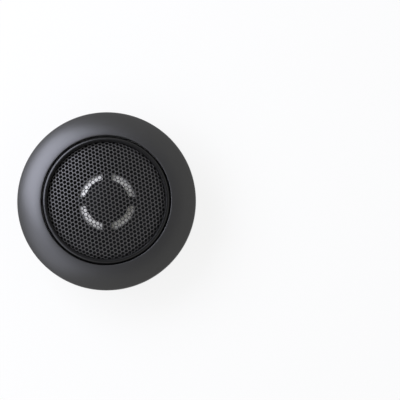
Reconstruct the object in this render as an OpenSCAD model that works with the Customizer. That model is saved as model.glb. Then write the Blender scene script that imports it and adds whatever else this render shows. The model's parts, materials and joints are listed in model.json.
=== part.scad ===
// Flush-mount car tweeter whose pod can be aimed: a bezel with a threaded barrel, a swivel ring that
// turns in it, and a ball-shaped pod that tilts on two pins and holds the dome driver and its grille.
// Millimetres. z = 0 is the face of the panel, +z is the way the sound leaves, the axis is x = y = 0.

/* [Bezel] */
// Outside diameter of the flange that covers the panel's edge
flange_d = 61; // [59:0.5:66]
// Diameter of the opening inside the lip
lip_d = 43.9; // [43.3:0.1:44.5]
// Height of the lip above the panel
lip_h = 5.6; // [5.4:0.1:6.4]
// Radius of the rounded lip
lip_round = 0.45; // [0.3:0.05:0.6]
// Fall of the crown where it leaves the lip, in degrees
lip_slope = 4; // [0:1:10]
// Height of the flange's upright outer edge
edge_h = 1; // [0.6:0.1:1.6]

/* [Barrel] */
// Wall of the barrel behind the flange
barrel_wall = 1.5; // [1.3:0.1:2.2]
// Depth of the barrel behind the panel
barrel_depth = 15; // [14:0.5:20]
// Width of the two keyways along the barrel
key_w = 3; // [2:0.1:5]
// Depth of the keyways
key_depth = 0.7; // [0.5:0.1:0.9]
// Width of the wire notch in the barrel's rear edge
notch_w = 8; // [5:0.5:12]
// Depth of the wire notch
notch_h = 3; // [1.5:0.5:3.5]

/* [Panel gasket] */
// Thickness of the foam ring and depth of its pocket
gasket_t = 1.6; // [1:0.1:1.8]
// Width of the foam ring
gasket_w = 2.4; // [1.5:0.1:2.8]
// Plain seat between the barrel and the foam ring
gasket_inset = 1; // [0.6:0.1:1.4]

/* [Swivel ring] */
// Height of the swivel's centre above the panel
swivel_h = 1; // [0.8:0.1:1.3]
// Gap between the ball and the lip or ring
swivel_gap = 0.3; // [0.2:0.05:0.4]
// Wall of the swivel ring at its thinnest
ring_wall = 1.1; // [0.9:0.1:1.6]
// Reach of the swivel ring in front of the swivel's centre
ring_front = 3.3; // [2.4:0.1:3.4]
// Reach of the swivel ring behind the swivel's centre
ring_rear = 4.5; // [3.5:0.1:5]
// Running gap round the swivel ring
turn_gap = 0.1; // [0.05:0.01:0.2]
// Diameter of the two swivel pins
pin_d = 1.8; // [1.4:0.1:2]
// Running gap round the swivel pins
pin_gap = 0.05; // [0.03:0.01:0.1]
// Width of the six relief slots in the swivel ring's rear edge
relief_w = 1.2; // [0.8:0.1:2]
// Depth of the relief slots
relief_h = 2; // [1:0.1:2.6]

/* [Retainer] */
// Thickness of the nylon friction washer
washer_t = 0.7; // [0.5:0.1:1]
// Height of the threaded retainer
retainer_h = 2.4; // [2:0.1:2.6]
// Gap that stands for the retainer's fine thread
thread_gap = 0.1; // [0.05:0.01:0.15]
// Width of the retainer's four spanner notches
spanner_w = 3; // [2:0.1:5]
// Depth of the spanner notches
spanner_h = 1.2; // [0.8:0.1:1.5]

/* [Pod shell] */
// Drop of the pod's rim below the lip
rim_drop = 0.1; // [0:0.05:0.3]
// Radius of the round on the rim's outer edge
bead_r = 0.75; // [0.6:0.05:0.85]
// Width of the rim's flat top inside the bead
bead_flat = 0.45; // [0.3:0.05:0.5]
// Step between the bead and the grille's bore
rim_step = 0.1; // [0.1:0.05:0.2]
// Wall of the ball
pod_wall = 1.4; // [1.2:0.1:1.6]
// Thickness of the pod's back wall
back_t = 2.4; // [2.2:0.1:3]
// Distance of the joint between the shells behind the swivel's centre
parting_drop = 3; // [2.8:0.1:3.4]
// Height of the tongue that centres the shells
tongue_h = 1.2; // [0.8:0.1:1.4]
// Width of the ledge that the phase plate rests on
ledge_w = 1.4; // [1:0.1:1.6]
// Thickness of the ledge
ledge_t = 1.2; // [0.9:0.1:1.5]
// Half width of the blocks that hold the swivel pins
block_half = 2.2; // [1.8:0.1:3]

/* [Grille] */
// Drop of the mesh's edge below the rim
grille_drop = 1.2; // [1:0.1:1.4]
// Height of the grille's upright skirt
skirt_h = 1; // [0.7:0.1:1.1]
// Rise of the domed mesh above its edge
grille_rise = 3.6; // [2.5:0.1:5]
// Thickness of the perforated sheet
sheet_t = 0.5; // [0.4:0.05:0.8]
// Width of the bevel at the mesh's shoulder
shoulder_w = 1; // [0.8:0.1:1.4]
// Diameter of each hole
hole_d = 1.1; // [0.9:0.05:1.15]
// Distance between neighbouring holes
hole_pitch = 1.41; // [1.35:0.01:2]
// Turn of the hole rows about the axis, in degrees
lattice_turn = 36.8; // [0:0.1:60]
// Gap round pieces that are pressed or glued in place
seat_gap = 0.05; // [0.02:0.01:0.08]

/* [Phase plate] */
// Thickness of the plate
plate_t = 1; // [0.8:0.1:1.1]
// Depth of the flare from the plate's rim to its throat
flare_depth = 4.1; // [4:0.05:4.2]
// Diameter of the throat round the dome
throat_d = 19; // [18.6:0.1:19.2]
// Height of the throat's upright edge below its bevel
throat_edge = 0.3; // [0.2:0.05:0.4]
// Diameter of the plug in front of the dome
plug_d = 14.4; // [12:0.1:15]
// Thickness of the plug
plug_t = 1; // [0.8:0.1:1.4]
// Gap between the plug and the dome
plug_gap = 0.8; // [0.7:0.05:1]
// Width of the four spokes
spoke_w = 3; // [2:0.1:4]
// Height of the spokes
spoke_h = 0.75; // [0.6:0.05:0.8]
// Rise of the spokes over the throat's front edge
spoke_rise = 0.5; // [0.45:0.05:0.55]

/* [Diaphragm] */
// Diameter of the dome
dome_d = 20; // [19.6:0.1:20.4]
// Height of the dome
dome_h = 1.6; // [1.5:0.05:1.65]
// Thickness of the dome and of the surround
film_t = 0.15; // [0.1:0.01:0.2]
// Distance of the dome's foot behind the throat's front edge
dome_drop = 1.8; // [1.75:0.05:1.9]
// Radius of the surround's roll
roll_r = 1; // [0.8:0.05:1.1]
// Width of the surround's flat rim
rim_w = 1.4; // [1.1:0.1:1.6]
// Thickness of the ring that carries the surround
carrier_t = 1; // [0.9:0.1:1.4]
// Inset of the coil former from the dome's edge
former_inset = 0.25; // [0.2:0.01:0.3]
// Wall of the coil former
former_t = 0.15; // [0.1:0.01:0.2]
// Build of the winding over the former
winding_t = 0.45; // [0.3:0.05:0.6]
// Height of the winding
winding_h = 2.6; // [2.2:0.1:3]

/* [Motor] */
// Gap on each side of the voice coil
coil_gap = 0.45; // [0.35:0.05:0.6]
// Thickness of the pole plate
pole_t = 2; // [1.5:0.1:2.5]
// Thickness of the magnet
magnet_t = 4; // [3:0.1:5]
// Inset of the magnet from the pole plate's edge
magnet_inset = 0.4; // [0.2:0.1:1]
// Wall of the steel cup
cup_wall = 2.2; // [1.8:0.1:2.3]
// Floor of the steel cup
cup_floor = 2; // [1.5:0.1:2.5]
// Length of the cup that shows behind the pod
cup_show = 2.6; // [2:0.1:3]
// Bevel round the cup's rear edge
cup_bevel = 0.6; // [0.3:0.1:1]
// Diameter of the felt pad under the dome
pad_d = 13; // [10:0.5:15]
// Thickness of the felt pad
pad_t = 0.8; // [0.5:0.1:1]
// Wall of the collar round the cup
collar_wall = 1.2; // [0.9:0.1:1.2]

/* [Screws] */
// Distance of the three pod screws from the axis
screw_ring_r = 16.4; // [16.3:0.05:16.6]
// Thread diameter of the pod screws
screw_d = 2; // [1.6:0.1:2.2]
// Head diameter of the pod screws
head_d = 3.8; // [3.2:0.1:3.9]
// Head height of the pod screws
head_h = 1.3; // [1:0.1:1.5]
// Width of the cross recess in the heads
drive_w = 0.5; // [0.3:0.05:0.7]
// Gap round the screws and their heads
screw_gap = 0.15; // [0.05:0.05:0.2]
// Radius of the posts that the screws pass through
post_r = 2.1; // [1.8:0.05:2.15]
// Length of thread inside the phase plate's posts
bite = 2.4; // [1.8:0.1:2.6]

/* [Terminals] */
// Length of the terminal board
board_l = 12; // [11:0.5:13]
// Width of the terminal board
board_w = 4.6; // [4:0.1:4.8]
// Thickness of the terminal board
board_t = 1.2; // [0.8:0.1:1.6]
// Distance of each tab's rivet from the middle of the board
rivet_x = 3.2; // [2.8:0.1:3.6]
// Diameter of the rivets and eyelets
rivet_d = 1.4; // [1:0.1:1.6]
// Thickness of the tabs
tab_t = 0.5; // [0.4:0.1:0.8]
// Width of the push-on tabs
tab_w = 2.8; // [2:0.1:3.2]
// Reach of the tabs past their rivets
tab_l = 6; // [5:0.5:6.5]
// Diameter of the lead wires
wire_d = 0.7; // [0.4:0.1:0.8]
// Diameter of the coil's tails
tail_d = 0.25; // [0.15:0.05:0.35]

/* [Mounting nut] */
// Rest distance of the slip washer behind the panel's face
nut_rest = 5; // [4:0.5:6]
// Thickness of the slip washer
slip_t = 1; // [0.8:0.1:1.5]
// Gap round the barrel's thread
nut_gap = 0.15; // [0.1:0.05:0.25]
// Width of the nut's ring
nut_w = 2.8; // [2:0.1:3]
// Height of the nut
nut_h = 5; // [4:0.5:6]
// Height of the nut's collar
nut_collar_h = 1.2; // [0.8:0.1:2]
// Reach of the nut's collar past its grip
nut_collar_w = 0.8; // [0.5:0.1:1]
// Number of scallops round the nut's grip
grips = 24; // [12:1:36]

/* [Hidden] */
$fn = 96;
eps = 0.02;
lip_r = lip_d / 2;
flange_r = flange_d / 2;
// Swivel: the ball clears the nearest point of the lip, and the ring, bore and barrel follow it
lip_reach = norm([lip_r, lip_h - lip_round - swivel_h]);
ball_r = lip_reach - swivel_gap;
socket_r = norm([lip_r + lip_round * (1 - cos(45)), lip_h - lip_round * (1 + sin(45)) - swivel_h]);
ring_out_r = lip_reach + ring_wall;
bore_r = ring_out_r + turn_gap;
barrel_r = bore_r + barrel_wall;
shoulder_z = swivel_h + ring_front + turn_gap;
ring_rear_z = swivel_h - ring_rear;
washer_z = ring_rear_z - turn_gap;
retainer_z = washer_z - washer_t;
// Crown: one arc from the lip to the flange's edge
crown_from = [lip_r + lip_round, lip_h];
crown_to = [flange_r, edge_h];
crown_chord = crown_to - crown_from;
crown_turn = -atan2(crown_chord.y, crown_chord.x) - lip_slope;
crown_r = norm(crown_chord) / 2 / sin(crown_turn);
crown_c = crown_from - crown_r * [sin(lip_slope), cos(lip_slope)];
gasket_in_r = barrel_r + gasket_inset;
// Pod: from the rim back to the parting plane
rim_z = lip_h - rim_drop;
bead_z = rim_z - bead_r;
bead_x = across(ball_r, bead_z) - bead_r - eps;
grille_bore_r = bead_x - bead_r - rim_step;
grille_r = grille_bore_r - seat_gap;
grille_edge_z = rim_z - grille_drop;
plate_z = grille_edge_z - skirt_h;
ledge_z = plate_z - plate_t;
ledge_r = grille_bore_r - ledge_w;
parting_z = swivel_h - parting_drop;
shell_r = across(ball_r - pod_wall, parting_z);
tongue_r = (shell_r + across(ball_r, parting_z)) / 2;
// Phase plate and diaphragm, each placed from the piece in front of it
throat_r = throat_d / 2;
throat_z = plate_z - flare_depth;
flare = flare_depth / (ledge_r - throat_r);
throat_bevel = (plate_t - throat_edge) / (1 - flare);
plug_r = plug_d / 2;
dome_r = dome_d / 2;
dome_z = throat_z - dome_drop;
dome_ball = (dome_r * dome_r + dome_h * dome_h) / 2 / dome_h;
dome_c = dome_z + dome_h - dome_ball;
roll_x = dome_r + film_t + roll_r;
rim_in_r = roll_x + roll_r - film_t;
rim_out_r = rim_in_r + rim_w;
former_r = dome_r - former_inset;
winding_r = former_r + former_t;
// Motor stack behind the diaphragm
pole_r = former_r - coil_gap;
cup_in_r = winding_r + winding_t + coil_gap;
cup_r = cup_in_r + cup_wall;
cup_z = dome_z - carrier_t;
pole_z = cup_z - pole_t;
magnet_z = pole_z - magnet_t;
cup_rear_z = magnet_z - cup_floor;
back_z = cup_rear_z + cup_show;
carrier_in_r = winding_r + winding_t + 2 * coil_gap;
carrier_r = rim_out_r + 0.3;
collar_r = cup_r + seat_gap;
// Terminals on the pod's back wall, with the eyelets of the carrier above their rivets
rivet_y = cup_r + 1 + board_w / 2;
inside_z = back_z + back_t;
tab_z = back_z - board_t;
head_r = rivet_d / 2 + 0.45;
groove_w = 2 * tail_d;
// Nut on the barrel
slip_z = -nut_rest - slip_t;
slip_r = barrel_r + nut_gap + nut_w;

SCREWS = [1, 2, 3];
PAIR = [1, 2];

// Radius at height z of a sphere round the swivel's centre
function across(r, z) = sqrt(r * r - (z - swivel_h) * (z - swivel_h));

// Height of the phase plate's rear face at radius r
function under_plate(r) = throat_z - plate_t + (r - throat_r) * flare;

// Turn of a screw about the axis
function screw_turn(i) = 120 * i - 90;

// Side of the axis that a paired piece is on
function side(i) = 2 * i - 3;

// Outline of the crown, rounded lip and barrel to the right of the axis
module bezel_outline() {
    difference() {
        union() {
            intersection() {
                translate(crown_c) circle(crown_r);
                translate([crown_from.x, 0]) square([crown_chord.x, lip_h + 1]);
            }
            intersection() {
                translate([crown_from.x, lip_h - lip_round]) circle(lip_round);
                translate([lip_r - 1, 0]) square([1 + lip_round, lip_h + 1]);
            }
            translate([crown_from.x - lip_round / 2, 0]) square([lip_round, lip_h - lip_round]);
            translate([bore_r, -barrel_depth]) square([barrel_wall, barrel_depth + edge_h / 2]);
        }
        translate([0, swivel_h]) circle(socket_r);
        translate([0, -barrel_depth - 1]) square([bore_r, barrel_depth + 1 + shoulder_z]);
        translate([gasket_in_r, -1]) square([gasket_w, gasket_t + 1]);
    }
}

module bezel() {
    color([0.2, 0.2, 0.21])
    difference() {
        rotate_extrude() bezel_outline();
        for (s = [-1, 1])
            translate([s * barrel_r - key_depth, -key_w / 2, -barrel_depth - 1])
                cube([2 * key_depth, key_w, barrel_depth + 1 - gasket_inset]);
        translate([-notch_w / 2, 0, -barrel_depth - 1]) cube([notch_w, barrel_r + 1, notch_h + 1]);
    }
}

module panel_gasket() {
    color([0.1, 0.1, 0.1])
    rotate_extrude()
        translate([gasket_in_r + seat_gap, 0]) square([gasket_w - 2 * seat_gap, gasket_t]);
}

module friction_washer() {
    color([0.85, 0.83, 0.76])
    translate([0, 0, retainer_z])
    difference() {
        cylinder(r = bore_r - thread_gap, h = washer_t);
        translate([0, 0, -1]) cylinder(r = lip_reach, h = washer_t + 2);
    }
}

module retainer_ring() {
    color([0.13, 0.13, 0.13])
    translate([0, 0, retainer_z - retainer_h])
    difference() {
        cylinder(r = bore_r - thread_gap, h = retainer_h);
        translate([0, 0, -1]) cylinder(r = across(lip_reach, retainer_z) + turn_gap, h = retainer_h + 2);
        for (a = [45, 135])
            rotate(a) translate([-bore_r, -spanner_w / 2, -1]) cube([2 * bore_r, spanner_w, spanner_h + 1]);
    }
}

module swivel_ring() {
    color([0.3, 0.3, 0.31])
    difference() {
        translate([0, 0, ring_rear_z]) cylinder(r = ring_out_r, h = ring_rear + ring_front);
        translate([0, 0, swivel_h]) sphere(lip_reach);
        translate([0, 0, ring_rear_z - 1]) cylinder(r = lip_reach, h = ring_rear + 1);
        for (s = [-1, 1])
            translate([s * (lip_reach - 1), 0, swivel_h]) rotate([0, s * 90, 0])
                cylinder(r = pin_d / 2 + pin_gap, h = ring_wall + 2, $fn = 32);
        for (a = [30 : 60 : 150])
            rotate(a) translate([-bore_r, -relief_w / 2, ring_rear_z - 1])
                cube([2 * bore_r, relief_w, relief_h + 1]);
    }
}

module pod_front() {
    color([0.14, 0.14, 0.14])
    difference() {
        union() {
            rotate_extrude() {
                difference() {
                    intersection() {
                        translate([0, swivel_h]) circle(ball_r);
                        translate([0, parting_z]) square([ball_r + 1, bead_z - parting_z]);
                    }
                    translate([0, parting_z - 1]) square([ledge_r, rim_z - parting_z + 2]);
                    translate([0, ledge_z]) square([grille_bore_r, rim_z - ledge_z]);
                    translate([0, parting_z - 1]) square([shell_r, 1 + ledge_z - ledge_t - parting_z]);
                    translate([0, parting_z - 1]) square([tongue_r + seat_gap, 1 + tongue_h + seat_gap]);
                }
                intersection() {
                    translate([bead_x, bead_z]) circle(bead_r);
                    translate([bead_x, bead_z - eps]) square(bead_r);
                }
                translate([bead_x - bead_flat, bead_z - eps]) square([bead_flat + eps, bead_r + eps]);
            }
            for (s = [0, 180])
                rotate(s) translate([ledge_r + 0.2, -block_half, parting_z + tongue_h + 0.2])
                    cube([shell_r - ledge_r + 0.2, 2 * block_half, ledge_z - parting_z - tongue_h - 0.4]);
        }
        for (s = [-1, 1])
            translate([s * (ledge_r - 1), 0, swivel_h]) rotate([0, s * 90, 0])
                cylinder(d = pin_d, h = ball_r, $fn = 32);
    }
}

// Middles of the grille's holes: close-packed rows that stop short of the shoulder
grille_ball = (grille_r * grille_r + grille_rise * grille_rise) / 2 / grille_rise;
rows = ceil(grille_r / hole_pitch / sin(60));
hole_spots = [
    for (j = [-rows : rows], i = [-rows : rows])
        let (spot = hole_pitch * [i + (abs(j) % 2) / 2, j * sin(60)])
        if (norm(spot) < grille_r - shoulder_w - hole_d / 2 - seat_gap) spot];

// Domed blank of the grille, smaller by the inset, round the middle of its sphere
module grille_blank(inset) {
    foot = grille_ball - grille_rise - skirt_h;
    r = grille_r - inset;
    intersection() {
        sphere(grille_ball - inset);
        rotate_extrude()
            polygon([
                [0, foot - inset], [r, foot - inset], [r, foot + skirt_h - shoulder_w / 2 - inset / 2],
                [r - 3 * shoulder_w, foot + skirt_h + 2.2 * shoulder_w - inset / 2],
                [r - 3 * shoulder_w, grille_ball], [0, grille_ball]]);
    }
}

module grille() {
    color([0.09, 0.09, 0.09])
    translate([0, 0, grille_edge_z + grille_rise - grille_ball])
    rotate(lattice_turn)
    difference() {
        grille_blank(0);
        grille_blank(sheet_t);
        for (spot = hole_spots)
            rotate([0, asin(norm(spot) / grille_ball), atan2(spot.y, spot.x)])
                translate([0, 0, grille_ball - 2 * sheet_t]) cylinder(d = hole_d, h = 3 * sheet_t, $fn = 24);
    }
}

module phase_plate() {
    plate_r = grille_bore_r - seat_gap;
    color([0.07, 0.07, 0.07])
    difference() {
        union() {
            rotate_extrude() {
                polygon([
                    [throat_r, throat_z - plate_t + throat_edge],
                    [throat_r + throat_bevel, throat_z + throat_bevel * flare],
                    [ledge_r, plate_z], [plate_r, plate_z], [plate_r, ledge_z],
                    [ledge_r, ledge_z], [throat_r, throat_z - plate_t]]);
                polygon([
                    [rim_in_r + 0.3, dome_z + film_t], [rim_out_r - 0.1, dome_z + film_t],
                    [rim_out_r - 0.1, under_plate(rim_out_r) + plate_t / 2],
                    [rim_in_r + 0.3, under_plate(rim_in_r) + plate_t / 2]]);
            }
            intersection() {
                for (i = SCREWS)
                    rotate(screw_turn(i)) translate([screw_ring_r, 0, parting_z])
                        cylinder(r = post_r, h = plate_z - parting_z);
                rotate_extrude()
                    polygon([
                        [throat_r, parting_z - 1], [ledge_r - seat_gap, parting_z - 1],
                        [ledge_r - seat_gap, under_plate(ledge_r) + plate_t / 2],
                        [throat_r, under_plate(throat_r) + plate_t / 2]]);
            }
            intersection() {
                translate([0, 0, dome_c])
                difference() {
                    sphere(dome_ball + plug_gap + plug_t);
                    sphere(dome_ball + plug_gap);
                }
                translate([0, 0, throat_z - plate_t]) cylinder(r = plug_r, h = plate_z + 5);
            }
            for (a = [0 : 90 : 270])
                rotate(a) translate([plug_r - 0.5, -spoke_w / 2, throat_z + spoke_rise - spoke_h])
                    cube([throat_r + throat_bevel - plug_r + 0.5, spoke_w, spoke_h]);
        }
        for (i = SCREWS)
            rotate(screw_turn(i)) translate([screw_ring_r, 0, parting_z - 1])
                cylinder(r = screw_d / 2 + seat_gap, h = bite + 1.2, $fn = 32);
    }
}

module pod_rear() {
    color([0.12, 0.12, 0.12])
    difference() {
        union() {
            rotate_extrude() {
                difference() {
                    intersection() {
                        translate([0, swivel_h]) circle(ball_r);
                        translate([collar_r, back_z]) square([ball_r, parting_z - back_z]);
                    }
                    intersection() {
                        translate([0, swivel_h]) circle(ball_r - pod_wall);
                        translate([0, inside_z]) square([ball_r, swivel_h - inside_z]);
                    }
                }
                translate([collar_r, back_z + back_t / 2])
                    square([collar_wall, cup_z - back_z - back_t / 2]);
                translate([shell_r + seat_gap, parting_z - tongue_h / 2])
                    square([tongue_r - shell_r - seat_gap, 1.5 * tongue_h]);
            }
            for (i = SCREWS)
                rotate(screw_turn(i)) translate([screw_ring_r, 0, back_z + back_t / 2])
                    cylinder(r = post_r, h = parting_z - back_z - back_t / 2);
        }
        for (i = SCREWS)
            rotate(screw_turn(i)) translate([screw_ring_r, 0, back_z]) {
                cylinder(r = screw_d / 2 + screw_gap, h = parting_z - back_z + 1, $fn = 32);
                translate([0, 0, -1]) cylinder(r = head_d / 2 + screw_gap, h = head_h + 1, $fn = 48);
            }
        for (i = PAIR)
            translate([side(i) * rivet_x, rivet_y, back_z - 1])
                cylinder(d = rivet_d + 2 * seat_gap, h = back_t + 2, $fn = 32);
    }
}

module pod_screw(i) {
    color([0.62, 0.62, 0.64])
    rotate(screw_turn(i)) translate([screw_ring_r, 0, 0])
    difference() {
        union() {
            translate([0, 0, back_z]) cylinder(d = head_d, h = head_h, $fn = 48);
            translate([0, 0, back_z + head_h / 2])
                cylinder(d = screw_d, h = parting_z + bite - back_z - head_h / 2, $fn = 32);
        }
        for (a = [0, 90])
            rotate(a) translate([-head_d / 3, -drive_w / 2, back_z - 1])
                cube([head_d / 1.5, drive_w, 1 + head_h / 2]);
    }
}

module swivel_pin(i) {
    color([0.7, 0.7, 0.72])
    translate([side(i) * (ledge_r + 0.4), 0, swivel_h]) rotate([0, side(i) * 90, 0])
        cylinder(d = pin_d, h = ring_out_r - ledge_r - 0.4, $fn = 32);
}

module steel_cup() {
    color([0.72, 0.72, 0.7])
    rotate_extrude()
        polygon([
            [0, cup_rear_z], [cup_r - cup_bevel, cup_rear_z], [cup_r, cup_rear_z + cup_bevel],
            [cup_r, cup_z], [cup_in_r, cup_z], [cup_in_r, magnet_z], [0, magnet_z]]);
}

module magnet() {
    color([0.6, 0.6, 0.62])
    translate([0, 0, magnet_z]) cylinder(r = pole_r - magnet_inset, h = magnet_t);
}

module pole_plate() {
    color([0.68, 0.68, 0.66])
    translate([0, 0, pole_z]) cylinder(r = pole_r, h = pole_t);
}

module felt_pad() {
    color([0.45, 0.43, 0.4])
    translate([0, 0, cup_z]) cylinder(d = pad_d, h = pad_t);
}

module surround_carrier() {
    ear_half = rivet_x + rivet_d + 1;
    color([0.16, 0.16, 0.16])
    difference() {
        union() {
            translate([0, 0, cup_z]) cylinder(r = carrier_r, h = carrier_t);
            translate([-ear_half, carrier_r / 2, cup_z])
                cube([2 * ear_half, rivet_y + rivet_d - carrier_r / 2, carrier_t]);
        }
        translate([0, 0, cup_z - 1]) cylinder(r = carrier_in_r, h = carrier_t + 2);
        for (i = PAIR)
            translate([side(i) * rivet_x, 0, 0]) {
                translate([0, rivet_y, cup_z - 1])
                    cylinder(d = rivet_d + 2 * seat_gap, h = carrier_t + 2, $fn = 32);
                translate([-groove_w / 2, carrier_in_r / 2, dome_z - groove_w])
                    cube([groove_w, rivet_y - carrier_in_r / 2, groove_w + 1]);
            }
    }
}

module surround() {
    color([0.25, 0.25, 0.25])
    rotate_extrude() {
        difference() {
            translate([roll_x, dome_z]) circle(roll_r);
            translate([roll_x, dome_z]) circle(roll_r - film_t);
            translate([roll_x - 2 * roll_r, dome_z - 2 * roll_r]) square([4 * roll_r, 2 * roll_r]);
        }
        translate([dome_r, dome_z]) square([1.5 * film_t, film_t]);
        translate([rim_in_r + film_t / 2, dome_z]) square([rim_w - film_t / 2, film_t]);
    }
}

module dome() {
    color([0.8, 0.8, 0.82])
    intersection() {
        translate([0, 0, dome_c])
        difference() {
            sphere(dome_ball);
            sphere(dome_ball - film_t);
        }
        translate([0, 0, dome_z]) cylinder(r = dome_r + 1, h = 2 * dome_h);
    }
}

module coil_former() {
    former_z = pole_z + pole_t / 2 - winding_h / 2;
    color([0.7, 0.5, 0.25])
    translate([0, 0, former_z])
    difference() {
        cylinder(r = winding_r, h = dome_z - former_z);
        translate([0, 0, -1]) cylinder(r = former_r, h = dome_z - former_z + 2);
    }
}

module voice_coil() {
    color([0.72, 0.4, 0.2])
    translate([0, 0, pole_z + pole_t / 2 - winding_h / 2])
    difference() {
        cylinder(r = winding_r + winding_t, h = winding_h);
        translate([0, 0, -1]) cylinder(r = winding_r, h = winding_h + 2);
    }
}

module terminal_board() {
    color([0.35, 0.24, 0.14])
    difference() {
        translate([-board_l / 2, rivet_y - board_w / 2, tab_z]) cube([board_l, board_w, board_t]);
        for (i = PAIR)
            translate([side(i) * rivet_x, rivet_y, tab_z - 1])
                cylinder(d = rivet_d + 2 * seat_gap, h = board_t + 2, $fn = 32);
    }
}

// Flat push-on tab with a lead-in at its tip and the hole that a connector's dimple drops into
module terminal_tab(i) {
    nose = tab_w / 5;
    half = tab_w / 2;
    color([0.8, 0.72, 0.45])
    translate([side(i) * rivet_x, rivet_y, tab_z - tab_t])
    mirror([2 - i, 0, 0])
    linear_extrude(tab_t)
    difference() {
        polygon([
            [-rivet_d, -half], [tab_l - nose, -half], [tab_l, nose - half], [tab_l, half - nose],
            [tab_l - nose, half], [-rivet_d, half]]);
        circle(d = rivet_d + 2 * seat_gap, $fn = 32);
        translate([0.7 * tab_l, 0]) circle(d = tab_w / 3, $fn = 24);
    }
}

module terminal_rivet(i) {
    color([0.78, 0.68, 0.4])
    translate([side(i) * rivet_x, rivet_y, 0]) {
        translate([0, 0, tab_z - tab_t - 0.4]) cylinder(r = head_r, h = 0.4, $fn = 32);
        translate([0, 0, tab_z - tab_t - 0.2])
            cylinder(d = rivet_d, h = inside_z - tab_z + tab_t + 0.4, $fn = 32);
        translate([0, 0, inside_z]) cylinder(r = head_r, h = 0.4, $fn = 32);
    }
}

module coil_eyelet(i) {
    color([0.78, 0.68, 0.4])
    translate([side(i) * rivet_x, rivet_y, 0]) {
        translate([0, 0, cup_z - 0.3]) cylinder(r = head_r, h = 0.3, $fn = 32);
        translate([0, 0, cup_z - 0.15]) cylinder(d = rivet_d, h = carrier_t + 0.3, $fn = 32);
        translate([0, 0, dome_z]) cylinder(r = head_r, h = 0.3, $fn = 32);
    }
}

// Slack bow of wire from a rivet's inner head to the eyelet above it
module lead_wire(i) {
    low_z = inside_z + 0.4 + wire_d / 2;
    high_z = cup_z - 0.3 - wire_d / 2;
    color([0.6, 0.15, 0.12])
    translate([side(i) * rivet_x, rivet_y, (low_z + high_z) / 2])
    rotate([90, 0, 90]) rotate(-90)
        rotate_extrude(angle = 180) translate([(high_z - low_z) / 2, 0]) circle(d = wire_d, $fn = 24);
}

// Fine wire from the former, along the carrier's groove, to its eyelet
module coil_tail(i) {
    start_y = sqrt(winding_r * winding_r - rivet_x * rivet_x) + tail_d / 2;
    color([0.72, 0.4, 0.2])
    translate([side(i) * rivet_x, start_y, dome_z - groove_w / 2]) rotate([-90, 0, 0])
        cylinder(d = tail_d, h = rivet_y - rivet_d / 2 - seat_gap - start_y, $fn = 16);
}

module slip_washer() {
    tab_half = key_w / 2 - nut_gap;
    color([0.8, 0.78, 0.7])
    translate([0, 0, slip_z])
    difference() {
        cylinder(r = slip_r, h = slip_t);
        difference() {
            translate([0, 0, -1]) cylinder(r = barrel_r + nut_gap, h = slip_t + 2);
            for (s = [0, 180])
                rotate(s) translate([barrel_r - key_depth + nut_gap, -tab_half, -2])
                    cube([nut_w, 2 * tab_half, slip_t + 4]);
        }
    }
}

module mounting_nut() {
    collar_z = slip_z - nut_gap / 2 - nut_collar_h;
    grip_z = collar_z + nut_collar_h - nut_h;
    grip_r = slip_r - nut_collar_w;
    color([0.17, 0.17, 0.18])
    difference() {
        union() {
            translate([0, 0, collar_z]) cylinder(r = slip_r, h = nut_collar_h);
            difference() {
                translate([0, 0, grip_z]) cylinder(r = grip_r, h = nut_h - nut_collar_h / 2);
                for (k = [1 : grips])
                    rotate(k * 360 / grips)
                        translate([grip_r + 0.5, 0, grip_z - 1]) cylinder(r = 1.3, h = nut_h + 2, $fn = 32);
            }
        }
        translate([0, 0, grip_z - 1]) cylinder(r = barrel_r + nut_gap, h = nut_h + 2);
    }
}

bezel();
panel_gasket();
friction_washer();
retainer_ring();
swivel_ring();
pod_front();
grille();
phase_plate();
pod_rear();
steel_cup();
magnet();
pole_plate();
felt_pad();
surround_carrier();
surround();
dome();
coil_former();
voice_coil();
terminal_board();
slip_washer();
mounting_nut();
for (i = SCREWS) {
    pod_screw(i);
}
for (i = PAIR) {
    swivel_pin(i);
    terminal_tab(i);
    terminal_rivet(i);
    coil_eyelet(i);
    lead_wire(i);
    coil_tail(i);
}
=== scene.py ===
import json
import math

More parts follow.
